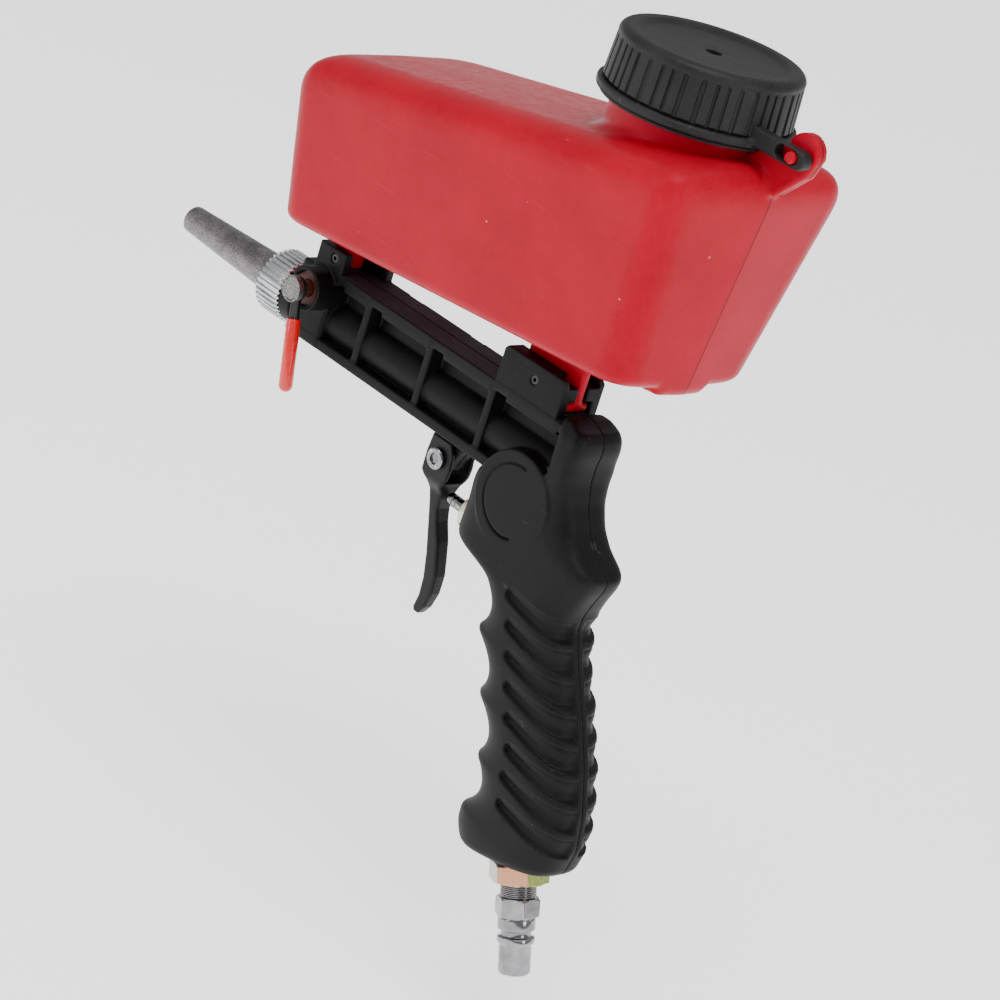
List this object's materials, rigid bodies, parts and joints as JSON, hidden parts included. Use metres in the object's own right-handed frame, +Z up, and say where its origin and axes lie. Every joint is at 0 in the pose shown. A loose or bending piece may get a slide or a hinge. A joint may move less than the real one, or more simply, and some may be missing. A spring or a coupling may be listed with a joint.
{
  "type": "abrasive blasting gun",
  "caption": "Handheld gravity-feed blasting gun: pistol grip, ribbed fore-end, hopper with screw cap above, media valve lever, trigger, tapered nozzle and air inlet plug",
  "frame": {"origin": "centre of the nozzle mouth, on the barrel axis", "axes": "the barrel lies along X with the nozzle toward -X; Z is up toward the hopper, square to the barrel; Y is across the gun and the media valve lever is on the -Y side"},
  "size_m": [0.2736, 0.0852, 0.3297],
  "materials": {
    "body_plastic": "fine matte black moulded plastic",
    "hopper_plastic": "red blow-moulded plastic, satin",
    "cap_plastic": "black moulded plastic with grip ribs",
    "screw_steel": "zinc-plated steel",
    "set_screw_steel": "blackened steel",
    "seal_rubber": "black rubber",
    "gasket_foam": "pale closed-cell foam",
    "chamber_metal": "die-cast aluminium",
    "brass": "turned brass",
    "washer_red": "dark red rubber",
    "lever_steel": "black coated strip",
    "sleeve_pvc": "red dipped vinyl",
    "disc_steel": "grainy steel with a bright rim",
    "nozzle_steel": "mottled hardened steel",
    "nut_aluminium": "knurled aluminium",
    "chrome": "bright chrome",
    "trigger_plastic": "matte black moulded plastic",
    "tube_aluminium": "drawn aluminium tube",
    "zinc_yellow": "yellow passivated zinc",
    "spring_steel": "spring wire"
  },
  "bodies": {
    "body": {"body_left_shell": "body_plastic", "body_right_shell": "body_plastic", "body_screws": "screw_steel", "hopper": "hopper_plastic", "hopper_lock_screws": "set_screw_steel", "spout_seal": "seal_rubber", "mixing_chamber": "chamber_metal", "air_jet_tube": "tube_aluminium", "valve_washer": "washer_red", "valve_body": "brass", "valve_spring": "spring_steel", "gland_nut": "chrome", "valve_end_plug": "brass", "trigger_pivot": "chrome", "grip_air_tube": "tube_aluminium", "inlet_bushing": "zinc_yellow", "air_plug": "chrome"},
    "trigger": {"trigger": "trigger_plastic"},
    "stem": {"valve_stem": "chrome", "valve_seal": "seal_rubber"},
    "media_valve": {"media_valve_plug": "brass", "lever_plate": "lever_steel", "lever_sleeve": "sleeve_pvc", "lever_screw": "disc_steel"},
    "nozzle": {"nozzle": "nozzle_steel", "nozzle_seal": "seal_rubber"},
    "nut": {"nozzle_nut": "nut_aluminium"},
    "tether": {"cap_tether": "cap_plastic"},
    "cap": {"cap": "cap_plastic", "cap_gasket": "gasket_foam"}
  },
  "joints": [
    {"name": "trigger_pull", "type": "hinge", "parent": "body", "child": "trigger", "pos_m": [0.1607, 0, -0.0201], "axis": [0, -1, 0], "range_deg": [0, 10], "stiffness_Nm_per_rad": 2, "springref_deg": -8.59},
    {"name": "stem_slide", "type": "slide", "parent": "body", "child": "stem", "axis": [1, 0, 0], "range_m": [0, 0.0024], "deforming": ["valve_spring"]},
    {"name": "media_valve_turn", "type": "hinge", "parent": "body", "child": "media_valve", "pos_m": [0.0844, 0, 0.0105], "axis": [0, -1, 0], "range_deg": [0, 90]},
    {"name": "nozzle_draw", "type": "slide", "parent": "body", "child": "nozzle", "axis": [-1, 0, 0], "range_m": [0, 0.00749]},
    {"name": "nut_turn", "type": "hinge", "parent": "nozzle", "child": "nut", "pos_m": [0.06, 0, 0], "axis": [-1, 0, 0], "range_deg": [0, 1800]},
    {"name": "cap_swing", "type": "hinge", "parent": "body", "child": "tether", "pos_m": [0.2678, 0, 0.1396], "axis": [0, 1, 0], "range_deg": [0, 110]},
    {"name": "cap_turn", "type": "hinge", "parent": "tether", "child": "cap", "pos_m": [0.2177, 0, 0.145], "axis": [0, 0, 1], "continuous": true}
  ],
  "couplings": [
    {"joint": "trigger_pull", "follows": "stem_slide", "rad_per_m": 72.46},
    {"joint": "nut_turn", "follows": "nozzle_draw", "rad_per_m": 4188.8}
  ]
}
